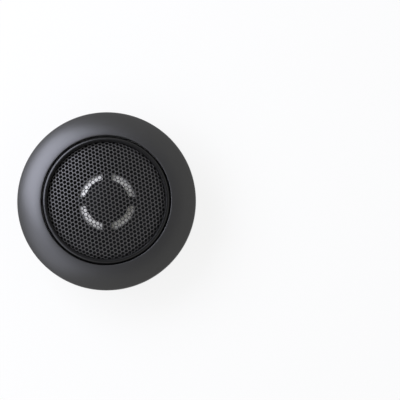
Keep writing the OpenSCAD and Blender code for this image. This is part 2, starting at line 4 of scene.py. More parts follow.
import bmesh
import bpy
import numpy as np
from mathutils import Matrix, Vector


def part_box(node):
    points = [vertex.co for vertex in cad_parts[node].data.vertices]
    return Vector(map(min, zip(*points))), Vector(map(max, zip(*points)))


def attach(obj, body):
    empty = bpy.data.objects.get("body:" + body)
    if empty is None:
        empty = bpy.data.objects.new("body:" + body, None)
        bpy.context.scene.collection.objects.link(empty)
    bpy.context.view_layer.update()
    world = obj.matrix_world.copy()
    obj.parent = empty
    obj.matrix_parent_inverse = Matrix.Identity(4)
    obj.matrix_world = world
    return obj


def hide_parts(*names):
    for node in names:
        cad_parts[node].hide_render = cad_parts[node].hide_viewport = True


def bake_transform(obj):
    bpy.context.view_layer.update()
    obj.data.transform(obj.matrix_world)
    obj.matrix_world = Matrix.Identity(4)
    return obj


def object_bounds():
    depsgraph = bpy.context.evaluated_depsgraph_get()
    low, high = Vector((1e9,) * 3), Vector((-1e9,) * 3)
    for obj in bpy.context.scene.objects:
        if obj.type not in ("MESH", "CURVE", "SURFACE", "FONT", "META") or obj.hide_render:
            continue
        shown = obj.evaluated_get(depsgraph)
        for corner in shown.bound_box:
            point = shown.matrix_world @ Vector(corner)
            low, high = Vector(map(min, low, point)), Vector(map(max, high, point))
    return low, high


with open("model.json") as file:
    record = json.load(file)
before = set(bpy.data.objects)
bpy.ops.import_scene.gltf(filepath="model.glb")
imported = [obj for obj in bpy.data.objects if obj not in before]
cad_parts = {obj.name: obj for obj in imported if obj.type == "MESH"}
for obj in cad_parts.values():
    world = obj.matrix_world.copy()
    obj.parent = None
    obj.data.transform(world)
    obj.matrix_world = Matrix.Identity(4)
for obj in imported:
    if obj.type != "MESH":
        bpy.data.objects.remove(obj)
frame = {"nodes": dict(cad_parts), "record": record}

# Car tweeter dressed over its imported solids. Sizes are in millimetres, angles in degrees.
mm = 0.001
weld = mm / 1000  # vertices closer than this become one
slack = 0.02  # how far a vertex may lie from the place that it is picked by
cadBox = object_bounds()
nodes = frame["nodes"]
slotOf = {row["node"]: row["material_slot"] for row in frame["record"]["subparts"]}
print("frame loaded,", len(nodes), "nodes")


def objectMode():
    if bpy.context.object and bpy.context.object.mode != "OBJECT":
        bpy.ops.object.mode_set(mode="OBJECT")
    bpy.ops.object.select_all(action="DESELECT")


def makeActive(piece):
    objectMode()
    piece.select_set(True)
    bpy.context.view_layer.objects.active = piece


def editMode(piece):
    makeActive(piece)
    bpy.ops.object.mode_set(mode="EDIT")
    bpy.ops.mesh.select_mode(type="VERT")
    bpy.ops.mesh.select_all(action="SELECT")


def addNode(tree, kind, values=None, links=None):
    made = tree.nodes.new(kind)
    for key, value in (values or {}).items():
        if isinstance(key, str) and hasattr(made, key):
            setattr(made, key, value)
        else:
            made.inputs[key].default_value = value
    for key, source in (links or {}).items():
        tree.links.new(source, made.inputs[key])
    return made


def linear(hexText):
    parts = [int(hexText[k:k + 2], 16) / 255 for k in (1, 3, 5)]
    return [c / 12.92 if c <= 0.04045 else ((c + 0.055) / 1.055) ** 2.4 for c in parts] + [1]


def perMm(size):
    return 1 / (size * mm)  # a texture's scale for a feature of that size


# camera, floor and light

# the photograph is square and looks at the front from slightly below
shot = {"lens": 160, "sensor": 36, "distance": 608.0, "pitch": 4.8, "aim": (31.87, 0.43, 0.5), "clip": 10}


def placeCamera():
    objectMode()
    pitch = math.radians(shot["pitch"])
    back = Vector((0, -math.sin(pitch), math.cos(pitch))) * shot["distance"]
    bpy.ops.object.camera_add(location=(Vector(shot["aim"]) + back) * mm, rotation=(pitch, 0, 0))
    camera = bpy.context.object
    camera.name = "frontCamera"
    camera.data.lens = shot["lens"]
    camera.data.sensor_width = shot["sensor"]
    camera.data.clip_start = shot["clip"] * mm
    bpy.context.scene.camera = camera


# floorWhite is how much of the floor that the camera sees is plain white, air is the light from all round
studio = {"floorSize": 4000, "floor": "#F4F4F2", "floorWhite": 0.85, "air": "#FFFEFA", "airTop": 0.14, "airSide": 0.5,
          "topSpread": 45}
# azimuth runs from +X towards +Y, tilt from the axis, and level is the brightness of the lamp's own face
lamps = {
    "keySoftbox": {"azimuth": 148, "tilt": 45, "distance": 600, "wide": 520, "high": 440, "level": 5.2,
                   "colour": "#EAEDFF"},
    "sideSoftbox": {"azimuth": 210, "tilt": 45, "distance": 600, "wide": 420, "high": 440, "level": 1.3,
                    "colour": "#EAEDFF"},
}


def seenDirectly(tree):
    # 1 for rays from the camera and for mirror and glass rays, so that metal shows the white background too
    path = addNode(tree, "ShaderNodeLightPath")
    seen = path.outputs["Is Camera Ray"]
    for ray in ("Is Glossy Ray", "Is Transmission Ray"):
        seen = addNode(tree, "ShaderNodeMath", {"operation": "MAXIMUM"}, {0: seen, 1: path.outputs[ray]}).outputs[0]
    return seen


def buildStudio():
    scene = bpy.context.scene
    scene.view_settings.view_transform = "Standard"
    objectMode()
    bpy.ops.mesh.primitive_plane_add(size=studio["floorSize"] * mm, location=(0, 0, cadBox[0].z))
    floor = bpy.context.object
    floor.name = "studioFloor"
    paper = bpy.data.materials.new("paleFloorPaper")
    paper.use_nodes = True
    tree = paper.node_tree
    tree.nodes.clear()
    share = addNode(tree, "ShaderNodeMath", {"operation": "MULTIPLY", 1: studio["floorWhite"]}, {0: seenDirectly(tree)})
    lit = addNode(tree, "ShaderNodeBsdfDiffuse", {"Color": linear(studio["floor"])})
    white = addNode(tree, "ShaderNodeEmission", {"Color": (1, 1, 1, 1), "Strength": 1})
    both = addNode(tree, "ShaderNodeMixShader", links={0: share.outputs[0], 1: lit.outputs[0], 2: white.outputs[0]})
    addNode(tree, "ShaderNodeOutputMaterial", links={"Surface": both.outputs[0]})
    floor.data.materials.append(paper)

    world = bpy.data.worlds.new("studioAir")
    scene.world = world
    world.use_nodes = True
    tree = world.node_tree
    tree.nodes.clear()
    # dimmer overhead, where the camera stands, than at the sides
    look = addNode(tree, "ShaderNodeTexCoord")
    up = addNode(tree, "ShaderNodeSeparateXYZ", links={0: look.outputs["Generated"]}).outputs["Z"]
    level = addNode(tree, "ShaderNodeMapRange",
                    {"From Min": math.cos(math.radians(studio["topSpread"])), "From Max": 1,
                     "To Min": studio["airSide"], "To Max": studio["airTop"]}, {"Value": up})
    soft = addNode(tree, "ShaderNodeBackground", {"Color": linear(studio["air"])}, {"Strength": level.outputs[0]})
    addNode(tree, "ShaderNodeOutputWorld", links={"Surface": soft.outputs[0]})

    for name, lamp in lamps.items():
        turn, tilt = math.radians(lamp["azimuth"]), math.radians(lamp["tilt"])
        away = Vector((math.sin(tilt) * math.cos(turn), math.sin(tilt) * math.sin(turn), math.cos(tilt)))
        objectMode()
        bpy.ops.object.light_add(type="AREA", location=away * lamp["distance"] * mm,
                                 rotation=away.to_track_quat("Z", "Y").to_euler())
        light = bpy.context.object
        light.name = light.data.name = name
        light.visible_camera = False
        light.data.shape = "RECTANGLE"
        light.data.size, light.data.size_y = lamp["wide"] * mm, lamp["high"] * mm
        light.data.color = linear(lamp["colour"])[:3]
        light.data.energy = lamp["level"] * math.pi * light.data.size * light.data.size_y


placeCamera()
buildStudio()
print("camera, floor and lamps placed")

# finishes, one for each slot of the record

plastics = {
    # ABS from a spark-eroded mould: black, with a fine even grain that spreads highlights into a satin sheen. The
    # grain is drawn about three times coarser than the real one, so that it shows
    "bezel_plastic": {"name": "satinGrainedAbs", "dark": "#1B1B1C", "pale": "#232324", "rough": (0.32, 0.39),
                      "grain": 0.4, "height": 0.010, "cloud": 9, "ior": 1.55, "gloss": 0.9},
    # ABS from a polished mould: deeper black, tighter highlight along the bead
    "pod_plastic": {"name": "smoothBlackAbs", "dark": "#0B0B0C", "pale": "#101011", "rough": (0.22, 0.28),
                    "grain": 0.5, "height": 0.002, "cloud": 7, "gloss": 0.6},
    # acetal: dense, slippery and slightly waxy, dull where it lies in the gap round the pod
    "inner_plastic": {"name": "blackAcetal", "dark": "#09090A", "pale": "#0E0E0F", "rough": (0.50, 0.60),
                      "grain": 0.6, "height": 0.003, "cloud": 5},
    # glass-filled nylon: dull charcoal with pale flecks of fibre at its skin
    "nut_plastic": {"name": "glassFilledNylon", "dark": "#1A1B1C", "pale": "#2A2B2D", "rough": (0.50, 0.62),
                    "grain": 0.28, "height": 0.010, "cloud": 1.2},
    # polystyrene, dull black so that the plate disappears behind the grille
    "plate_plastic": {"name": "dullBlackStyrene", "dark": "#040404", "pale": "#080808", "rough": (0.70, 0.80),
                      "grain": 0.4, "height": 0.006, "cloud": 6, "gloss": 0.2},
    # soft PVC sleeves of the two leads
    "red_insulation": {"name": "redPvcSleeve", "dark": "#8E1712", "pale": "#A8201A", "rough": (0.36, 0.44),
                       "grain": 0.3, "height": 0.003, "cloud": 2},
    "black_insulation": {"name": "blackPvcSleeve", "dark": "#111112", "pale": "#1A1A1B", "rough": (0.36, 0.44),
                         "grain": 0.3, "height": 0.003, "cloud": 2},
}
metals = {
    # zinc plate over turned steel: bluish grey, cloudy, with faint lathe rings
    "plated_steel": {"name": "zincPlatedSteel", "dark": "#A3A7A8", "pale": "#C2C5C4", "rough": (0.26, 0.40),
                     "cloud": 3.5, "rings": 0.22, "height": 0.0015},
    # nickel over sintered magnet: warm, nearly smooth
    "nickel": {"name": "nickelPlate", "dark": "#B3AEA4", "pale": "#C9C4BA", "rough": (0.16, 0.26),
               "cloud": 4, "rings": 0.5, "height": 0.0008},
    # small machine screws, dull zinc
    "screw_steel": {"name": "dullZincScrewSteel", "dark": "#8B8D90", "pale": "#A9ABAD", "rough": (0.32, 0.46),
                    "cloud": 0.9, "rings": 0.15, "height": 0.0015},
    # aluminium drawn into a dome and anodised: the clear oxide scatters light, so it looks whitish and satin
    "dome_metal": {"name": "anodisedAluminium", "dark": "#F2F0E8", "pale": "#FBFAF3", "rough": (0.42, 0.50),
                   "cloud": 2.5, "rings": 0.35, "height": 0.001, "metal": 0.22},
    # brass strip, hot tinned: pale, with a warm cast and soft pools in the tin
    "tinned_brass": {"name": "tinnedBrass", "dark": "#B5AD96", "pale": "#D2CDBE", "rough": (0.22, 0.36),
                     "cloud": 0.8, "rings": 0.4, "height": 0.0015},
}


def startFinish(name):
    finish = bpy.data.materials.new(name)
    finish.use_nodes = True
    finish.node_tree.nodes.clear()
    return finish, finish.node_tree, addNode(finish.node_tree, "ShaderNodeTexCoord").outputs["Object"]


def closeFinish(tree, look, values, tone, gloss=None, relief=None):
    # tone runs the colour from dark to pale, gloss drives the roughness and relief the bump
    colour = addNode(tree, "ShaderNodeMix", {"data_type": "RGBA", 6: linear(look["dark"]), 7: linear(look["pale"])},
                     {0: tone})
    links = {"Base Color": colour.outputs[2]}
    if gloss is not None:
        smoothest, roughest = look["rough"]
        links["Roughness"] = addNode(tree, "ShaderNodeMapRange", {"To Min": smoothest, "To Max": roughest},
                                     {"Value": gloss}).outputs[0]
    if relief is not None:
        links["Normal"] = addNode(tree, "ShaderNodeBump", {"Distance": look["height"] * mm},
                                  {"Height": relief}).outputs[0]
    shader = addNode(tree, "ShaderNodeBsdfPrincipled", values, links)
    addNode(tree, "ShaderNodeOutputMaterial", links={"Surface": shader.outputs["BSDF"]})


def mouldPlastic(look):
    finish, tree, place = startFinish(look["name"])
    grain = addNode(tree, "ShaderNodeTexNoise", {"Scale": perMm(look["grain"]), "Detail": 3},
                    {"Vector": place}).outputs["Fac"]
    cloud = addNode(tree, "ShaderNodeTexNoise", {"Scale": perMm(look["cloud"]), "Detail": 4},
                    {"Vector": place}).outputs["Fac"]
    values = {"IOR": look.get("ior", 1.5), "Specular IOR Level": look.get("gloss", 0.5)}
    closeFinish(tree, look, values, cloud, grain, grain)
    return finish


def plateMetal(look):
    finish, tree, place = startFinish(look["name"])
    flat = addNode(tree, "ShaderNodeVectorMath", {"operation": "MULTIPLY", 1: (1, 1, 0)}, {0: place})
    radius = addNode(tree, "ShaderNodeVectorMath", {"operation": "LENGTH"}, {0: flat.outputs[0]})
    rings = addNode(tree, "ShaderNodeTexNoise",
                    {"noise_dimensions": "1D", "Scale": perMm(look["rings"]), "Detail": 2},
                    {"W": radius.outputs["Value"]}).outputs["Fac"]
    cloud = addNode(tree, "ShaderNodeTexNoise", {"Scale": perMm(look["cloud"]), "Detail": 3},
                    {"Vector": place}).outputs["Fac"]
    closeFinish(tree, look, {"Metallic": look.get("metal", 1)}, cloud, cloud, rings)
    return finish


# epoxy powder coat baked on steel: dull black, pebbled like orange peel, a little paler where it pools
powderCoat = {"name": "blackPowderCoat", "dark": "#3E3D3C", "pale": "#4B4A48", "peel": 0.45, "height": 0.012,
              "rough": (0.30, 0.38), "gloss": 0.55}


def bakePowder(look):
    finish, tree, place = startFinish(look["name"])
    peel = addNode(tree, "ShaderNodeTexNoise", {"Scale": perMm(look["peel"]), "Detail": 2, "Roughness": 0.4},
                   {"Vector": place}).outputs["Fac"]
    closeFinish(tree, look, {"IOR": 1.5, "Specular IOR Level": look["gloss"]}, peel, peel, peel)
    return finish


# closed-cell EPDM foam: matt black, pitted by cut cells, with the colour darker down in each pit, which is painted
# shade
foam = {"name": "closedCellFoam", "dark": "#0B0B0C", "pale": "#232324", "cell": 0.55, "height": 0.12}


def cutFoam(look):
    finish, tree, place = startFinish(look["name"])
    # the same pattern gives the pits and darkens the colour at the bottom of each: painted shade
    pitDepthAndShade = addNode(tree, "ShaderNodeTexVoronoi", {"Scale": perMm(look["cell"])}, {"Vector": place}).outputs["Distance"]
    closeFinish(tree, look, {"Roughness": 0.9, "IOR": 1.5, "Sheen Weight": 0.15}, pitDepthAndShade, relief=pitDepthAndShade)
    return finish


# natural nylon 6: milky ivory, light sinks in a little before it comes back
nylon = {"name": "naturalNylon", "dark": "#CFC8B4", "pale": "#DED8C6", "flow": 4, "rough": (0.38, 0.48), "sink": 0.8}


def castNylon(look):
    finish, tree, place = startFinish(look["name"])
    flow = addNode(tree, "ShaderNodeTexNoise", {"Scale": perMm(look["flow"]), "Detail": 4, "Distortion": 1.5},
                   {"Vector": place}).outputs["Fac"]
    values = {"IOR": 1.53, "Subsurface Weight": 0.2, "Subsurface Radius": (1, 0.8, 0.6),
              "Subsurface Scale": look["sink"] * mm}
    closeFinish(tree, look, values, flow, flow)
    return finish


# pressed wool felt: grey-brown, fuzzy, no gloss. Its fibres are drawn coarser than wool, so that they show
felt = {"name": "pressedWoolFelt", "dark": "#5B544C", "pale": "#847B70", "fibre": 0.25, "height": 0.15}


def pressFelt(look):
    finish, tree, place = startFinish(look["name"])
    fibre = addNode(tree, "ShaderNodeTexNoise", {"Scale": perMm(look["fibre"]), "Detail": 6, "Distortion": 3},
                    {"Vector": place}).outputs["Fac"]
    closeFinish(tree, look, {"Roughness": 1, "Sheen Weight": 0.4, "Sheen Roughness": 0.5}, fibre, relief=fibre)
    return finish


# doped silk of the surround: charcoal, with the cloth still showing through the rubbery coat, and the colour darker in
# the hollows of the weave, which is painted shade. Its threads are drawn coarser than silk, so that they show
silk = {"name": "dopedSilk", "dark": "#1D1D1E", "pale": "#39393A", "thread": 0.355, "height": 0.02}


def dopeSilk(look):
    finish, tree, place = startFinish(look["name"])
    across = {"Scale": perMm(look["thread"]) * math.tau / 20}  # at a scale of 1 a wave repeats every tau / 20
    warp = addNode(tree, "ShaderNodeTexWave", {"bands_direction": "X", **across}, {"Vector": place})
    weft = addNode(tree, "ShaderNodeTexWave", {"bands_direction": "Y", **across}, {"Vector": place})
    weaveAndShade = addNode(tree, "ShaderNodeMath", {"operation": "MULTIPLY"},
                    {0: warp.outputs["Fac"], 1: weft.outputs["Fac"]}).outputs[0]
    # the weave gives the relief and also darkens the colour in its hollows: painted shade
    closeFinish(tree, look, {"Roughness": 0.55, "IOR": 1.45}, weaveAndShade, relief=weaveAndShade)
    return finish


# polyimide film of the coil former: clear amber, glossy
film = {"name": "polyimideFilm", "dark": "#8A4E14", "pale": "#B0701F", "cloud": 2}


def rollFilm(look):
    finish, tree, place = startFinish(look["name"])
    cloud = addNode(tree, "ShaderNodeTexNoise", {"Scale": perMm(look["cloud"]), "Detail": 3},
                    {"Vector": place}).outputs["Fac"]
    closeFinish(tree, look, {"Roughness": 0.22, "IOR": 1.7}, cloud)
    return finish


# enamelled copper: orange-brown under a clear glossy coat, one line for each turn of wire, darker in the groove and
# paler on the crest of each turn: painted shade and painted highlight
copper = {"name": "enamelledCopper", "dark": "#8C4A2A", "pale": "#C47A4A", "wire": 0.2, "height": 0.05}


def windCopper(look):
    finish, tree, place = startFinish(look["name"])
    height = addNode(tree, "ShaderNodeSeparateXYZ", links={0: place}).outputs["Z"]
    # dark in the groove between turns and pale on each crest, like the relief: painted shade and painted highlight
    turns = addNode(tree, "ShaderNodeMath", {"operation": "PINGPONG", 1: look["wire"] / 2 * mm}, {0: height})
    share = addNode(tree, "ShaderNodeMath", {"operation": "MULTIPLY", 1: perMm(look["wire"] / 2)},
                    {0: turns.outputs[0]}).outputs[0]
    values = {"Metallic": 1, "Roughness": 0.3, "Coat Weight": 0.6, "Coat Roughness": 0.15}
    closeFinish(tree, look, values, share, relief=share)
    return finish


# paper laminate soaked in phenolic resin: brown, with fibres lying along the board
laminate = {"name": "phenolicPaperBoard", "dark": "#4A2F1A", "pale": "#6E4A2B", "fibre": 0.5, "length": 4,
            "height": 0.01}


def pressLaminate(look):
    finish, tree, place = startFinish(look["name"])
    drawn = addNode(tree, "ShaderNodeMapping", {"Scale": (look["fibre"] / look["length"], 1, 1)}, {"Vector": place})
    fibre = addNode(tree, "ShaderNodeTexNoise", {"Scale": perMm(look["fibre"]), "Detail": 5},
                    {"Vector": drawn.outputs[0]}).outputs["Fac"]
    closeFinish(tree, look, {"Roughness": 0.45, "IOR": 1.55}, fibre, relief=fibre)
    return finish


finishes = {slot: mouldPlastic(look) for slot, look in plastics.items()}
finishes.update({slot: plateMetal(look) for slot, look in metals.items()})
finishes.update({
    "grille_paint": bakePowder(powderCoat), "foam": cutFoam(foam), "nylon": castNylon(nylon), "felt": pressFelt(felt),
    "surround_film": dopeSilk(silk), "former_film": rollFilm(film), "copper": windCopper(copper),
    "laminate": pressLaminate(laminate)})
for name, solid in nodes.items():
    solid.material_slots[0].material = finishes[slotOf[name]]
print("finishes made,", len(finishes))

# shaping helpers


def arc(centre, radius, start, stop, steps):
    turns = [math.radians(start + (stop - start) * k / steps) for k in range(steps + 1)]
    return [(centre[0] + radius * math.cos(t), centre[1] + radius * math.sin(t)) for t in turns]


def roundCorners(corners, steps=4):
    # each corner is (r, z) or (r, z, radius); those with a radius become short arcs
    points = []
    for k, corner in enumerate(corners):
        here = Vector(corner[:2])
        if len(corner) == 2:
            points.append(tuple(here))
            continue
        before = (Vector(corners[k - 1][:2]) - here).normalized()
        after = (Vector(corners[(k + 1) % len(corners)][:2]) - here).normalized()
        half = before.angle(after) / 2
        centre = here + (before + after).normalized() * corner[2] / math.sin(half)
        first = here + before * corner[2] / math.tan(half) - centre
        last = here + after * corner[2] / math.tan(half) - centre
        for step in range(steps + 1):
            spoke = first.lerp(last, step / steps).normalized() * corner[2]
            points.append(tuple(centre + spoke))
    return points


def drawOutline(name, outline, closed=True):
    # one vertex, extruded from point to point in the plane y = 0
    objectMode()
    bpy.ops.mesh.primitive_plane_add(size=mm)
    piece = bpy.context.object
    piece.name = piece.data.name = name
    editMode(piece)
    bpy.ops.mesh.merge(type="CENTER")
    bpy.ops.transform.translate(value=(outline[0][0] * mm, 0, outline[0][1] * mm))
    path = outline + outline[:1] if closed else outline
    for here, there in zip(path, path[1:]):
        step = ((there[0] - here[0]) * mm, 0, (there[1] - here[1]) * mm)
        bpy.ops.mesh.extrude_vertices_move(TRANSFORM_OT_translate={"value": step})
    bpy.ops.mesh.select_all(action="SELECT")
    bpy.ops.mesh.remove_doubles(threshold=weld)
    return piece


def closeUp():
    bpy.ops.mesh.select_all(action="SELECT")
    bpy.ops.mesh.remove_doubles(threshold=weld)
    bpy.ops.mesh.normals_make_consistent(inside=False)


def spinOutline(name, outline, steps=128, closed=True):
    piece = drawOutline(name, outline, closed)
    bpy.ops.mesh.spin(steps=steps, angle=math.tau, center=(0, 0, 0), axis=(0, 0, 1))
    closeUp()
    objectMode()
    return piece


def applyModifier(piece, kind, **settings):
    makeActive(piece)
    modifier = piece.modifiers.new(kind.lower(), kind)
    for key, value in settings.items():
        setattr(modifier, key, value)
    bpy.ops.object.modifier_apply(modifier=modifier.name)


def combine(piece, other, operation):
    applyModifier(piece, "BOOLEAN", operation=operation, solver="EXACT", object=other)
    makeActive(other)
    bpy.ops.object.delete()


def cutBoxes(piece, boxes):
    for low, high in boxes:
        objectMode()
        bpy.ops.mesh.primitive_cube_add(size=mm)
        cutter = bpy.context.object
        editMode(cutter)
        bpy.ops.transform.resize(value=[b - a for a, b in zip(low, high)])
        bpy.ops.transform.translate(value=[(a + b) / 2 * mm for a, b in zip(low, high)])
        combine(piece, cutter, "DIFFERENCE")


def pick(piece, kind, test):
    bpy.ops.mesh.select_mode(type=kind)
    bpy.ops.mesh.select_all(action="DESELECT")
    mesh = bmesh.from_edit_mesh(piece.data)
    for part in {"VERT": mesh.verts, "EDGE": mesh.edges, "FACE": mesh.faces}[kind]:
        if test(part):
            part.select_set(True)
    mesh.select_flush_mode()
    bmesh.update_edit_mesh(piece.data)


def atRadius(v, r, within=slack):
    return abs(v.co.xy.length / mm - r) < within


def widen(grow):
    bpy.ops.transform.resize(value=(grow, grow, 1), center_override=(0, 0, 0))  # what is selected, about the axis


def smooth(piece, angle=32):
    makeActive(piece)
    bpy.ops.object.shade_smooth_by_angle(angle=math.radians(angle))


def paint(piece, slot, *standsFor):
    piece.data.materials.clear()
    piece.data.materials.append(finishes[slot])
    if standsFor:
        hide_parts(*standsFor)


def dress(piece, body, slot, *standsFor):
    paint(piece, slot, *standsFor)
    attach(piece, body)


def mergedCopy(name, source, flat=0.4):
    # the solid's triangles joined, and those within that angle of each other made one face
    objectMode()
    piece = bpy.data.objects.new(name, nodes[source].data.copy())
    bpy.context.scene.collection.objects.link(piece)
    editMode(piece)
    bpy.ops.mesh.customdata_custom_splitnormals_clear()
    bpy.ops.mesh.remove_doubles(threshold=weld)
    bpy.ops.mesh.dissolve_limited(angle_limit=math.radians(flat))
    return piece


def softenEdges(name, source, body, width, sharp=40):
    # a merged copy of a plain solid whose sharp edges get a small round
    piece = mergedCopy(name, source)
    objectMode()
    applyModifier(piece, "BEVEL", width=width * mm, segments=2, limit_method="ANGLE",
                  angle_limit=math.radians(sharp))
    smooth(piece)
    dress(piece, body, slotOf[source], source)


# bezel: crowned flange, rounded lip and barrel in one moulding

bezelSize = {
    "lipR": 22.15, "lipRound": 0.15, "lipSlope": 8, "lipStart": 225, "lipSteps": 10, "crownTrim": 2, "crownSteps": 26,
    "edgeHigh": 2.2, "edgeRound": 0.5, "rearRound": 0.3, "pocketIn": 26.04, "pocketOut": 28.44, "pocketDeep": 1.6,
    "pocketRound": 0.12, "rootR": 24.6, "rootRound": 0.3, "boreR": 23.54, "endRound": 0.25, "shoulder": (22.2, 4.4),
    "keyFloor": 24.34, "keyWide": 3.0, "keyEnd": -1.0, "notchWide": 8.0, "notchHigh": 3.0, "cutPast": 2, "steps": 160}
threadSize = {"pitch": 3.0, "footR": 24.45, "crestR": 25.02, "footWide": 1.9, "crestWide": 0.7, "start": -13.7,
              "turns": 3.85, "steps": 96}


def barrelCuts():
    # the two key slots of the slip washer and the notch for the wires, all open at the rear
    size = bezelSize
    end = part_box("bezel")[0].z / mm
    rear, far = end - size["cutPast"], size["rootR"] + size["cutPast"]
    key, notch = size["keyWide"] / 2, size["notchWide"] / 2
    return [((size["keyFloor"], -key, rear), (far, key, size["keyEnd"])),
            ((-far, -key, rear), (-size["keyFloor"], key, size["keyEnd"])),
            ((-notch, 0, rear), (notch, far, end + size["notchHigh"]))]


def mouldBezel():
    size = bezelSize
    low, high = (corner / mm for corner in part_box("bezel"))
    lip = (size["lipR"] + size["lipRound"], high.z - size["lipRound"])
    slope, trim = size["lipSlope"], size["crownTrim"]
    chord = Vector((high.x - lip[0], size["edgeHigh"] - high.z))
    turn = -math.degrees(math.atan2(chord.y, chord.x)) - slope
    crownR = chord.length / 2 / math.sin(math.radians(turn))
    crown = (lip[0] - crownR * math.sin(math.radians(slope)), high.z - crownR * math.cos(math.radians(slope)))
    corners = arc(lip, size["lipRound"], size["lipStart"], 90 - slope, size["lipSteps"])
    # the crown's arc stops short at both ends, where the lip and the round of the edge take over
    corners += arc(crown, crownR, 90 - slope - trim, 90 - slope + trim - 2 * turn, size["crownSteps"])
    corners += [
        (high.x, size["edgeHigh"], size["edgeRound"]), (high.x, 0, size["rearRound"]),
        (size["pocketOut"], 0, size["pocketRound"]), (size["pocketOut"], size["pocketDeep"]),
        (size["pocketIn"], size["pocketDeep"]), (size["pocketIn"], 0, size["pocketRound"]),
        (size["rootR"], 0, size["rootRound"]), (size["rootR"], low.z, size["endRound"]),
        (size["boreR"], low.z, size["endRound"]), (size["boreR"], size["shoulder"][1]), size["shoulder"]]
    shell = spinOutline("bezelShell", roundCorners(corners), size["steps"])
    cutBoxes(shell, barrelCuts())
    smooth(shell)
    dress(shell, "bezel_body", slotOf["bezel"], "bezel")


def rollThread():
    size = threadSize
    foot, crest = size["footWide"] / 2, size["crestWide"] / 2
    outline = [(size["footR"], size["start"] - foot), (size["crestR"], size["start"] - crest),
               (size["crestR"], size["start"] + crest), (size["footR"], size["start"] + foot)]
    thread = drawOutline("barrelThread", outline)
    objectMode()
    steps = int(size["turns"] * size["steps"])
    applyModifier(thread, "SCREW", axis="Z", angle=size["turns"] * math.tau, steps=steps, render_steps=steps,
                  screw_offset=size["turns"] * size["pitch"] * mm)
    editMode(thread)
    bpy.ops.mesh.fill_holes(sides=0)
    closeUp()
    cutBoxes(thread, barrelCuts())
    smooth(thread, 25)
    dress(thread, "bezel_body", slotOf["bezel"])


mouldBezel()
rollThread()
print("bezel and barrel thread moulded")

# pod front: the solid, with the bead of its rim drawn in to a longer slope and its inner edge broken

podSize = {"beadIn": 20.9, "beadFoot": 4.76, "ringSlack": 0.002, "crest": 20.75, "innerEdge": 20.5,
           "innerRound": 0.012}


def roundPodRim():
    size = podSize
    rim = mergedCopy("podRim", "pod_front")
    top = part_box("pod_front")[1].z / mm
    foot = size["beadFoot"] * mm
    bead = sorted({round(v.co.xy.length / mm, 3) for v in bmesh.from_edit_mesh(rim.data).verts
                   if v.co.z > foot and v.co.xy.length > size["beadIn"] * mm})
    stretch = (bead[-1] - size["crest"]) / (bead[-1] - bead[0])
    for r in bead[:-1]:
        pick(rim, "VERT", lambda v: v.co.z > foot and atRadius(v, r, size["ringSlack"]))
        widen((bead[-1] - (bead[-1] - r) * stretch) / r)
    pick(rim, "EDGE", lambda e: all(v.co.z > (top - slack) * mm and atRadius(v, size["innerEdge"]) for v in e.verts))
    bpy.ops.mesh.bevel(offset=size["innerRound"] * mm, segments=2, affect="EDGES")
    objectMode()
    smooth(rim)
    dress(rim, "pod", slotOf["pod_front"], "pod_front")


roundPodRim()

# grille: sheet perforated flat, trimmed to a disc, then drawn into a dome whose rim curls down

# rims are the (wide, lift) steps of each hole's soft edge, and turn is that of the rows about the axis
grilleSize = {
    "pitch": 1.41, "holeR": 0.585, "rims": ((0.035, 0.045), (0.03, 0.014)), "sides": 12, "turn": 36.8, "sheet": 0.28,
    "rise": 3.6, "edgeGap": 0.04, "curlWide": 1.9, "curlDrop": 0.5, "trims": 96, "samples": 400}


def domeProfile():
    # radius, height and length over the dome, from its crown to its rim
    size = grilleSize
    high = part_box("grille")[1] / mm
    ballR = (high.x ** 2 + size["rise"] ** 2) / 2 / size["rise"]
    edgeR = high.x - size["edgeGap"]
    radii = np.linspace(0, edgeR, size["samples"])
    curl = np.maximum(radii - edgeR + size["curlWide"], 0) / size["curlWide"]
    heights = high.z - ballR + np.sqrt(ballR ** 2 - radii ** 2) - size["curlDrop"] * curl ** 2
    along = np.concatenate([[0], np.cumsum(np.hypot(np.diff(radii), np.diff(heights)))])
    return radii, heights, along


def punchHole():
    # one hole with its soft rim, and the hexagon of sheet round it
    size = grilleSize
    objectMode()
    bpy.ops.mesh.primitive_circle_add(vertices=size["sides"], radius=size["holeR"] * mm)
    sheet = bpy.context.object
    sheet.name = sheet.data.name = "grilleSheet"
    editMode(sheet)
    bpy.ops.transform.translate(value=(0, 0, -sum(lift for wide, lift in size["rims"]) * mm))
    rimR = size["holeR"]
    for wide, lift in size["rims"]:
        bpy.ops.mesh.extrude_edges_move(TRANSFORM_OT_translate={"value": (0, 0, lift * mm)})
        widen(1 + wide / rimR)
        rimR += wide
    bpy.ops.mesh.extrude_edges_move()
    widen(size["pitch"] / 2 / rimR)
    # every other vertex of the outer ring goes out to a corner of the hexagon
    corner = 360 / size["sides"] * 2
    pick(sheet, "VERT", lambda v: v.co.xy.length > (rimR + slack) * mm
         and abs((math.degrees(math.atan2(v.co.y, v.co.x)) + corner / 2) % corner - corner / 2) > corner / 4)
    widen(2 / math.sqrt(3))
    objectMode()
    return sheet


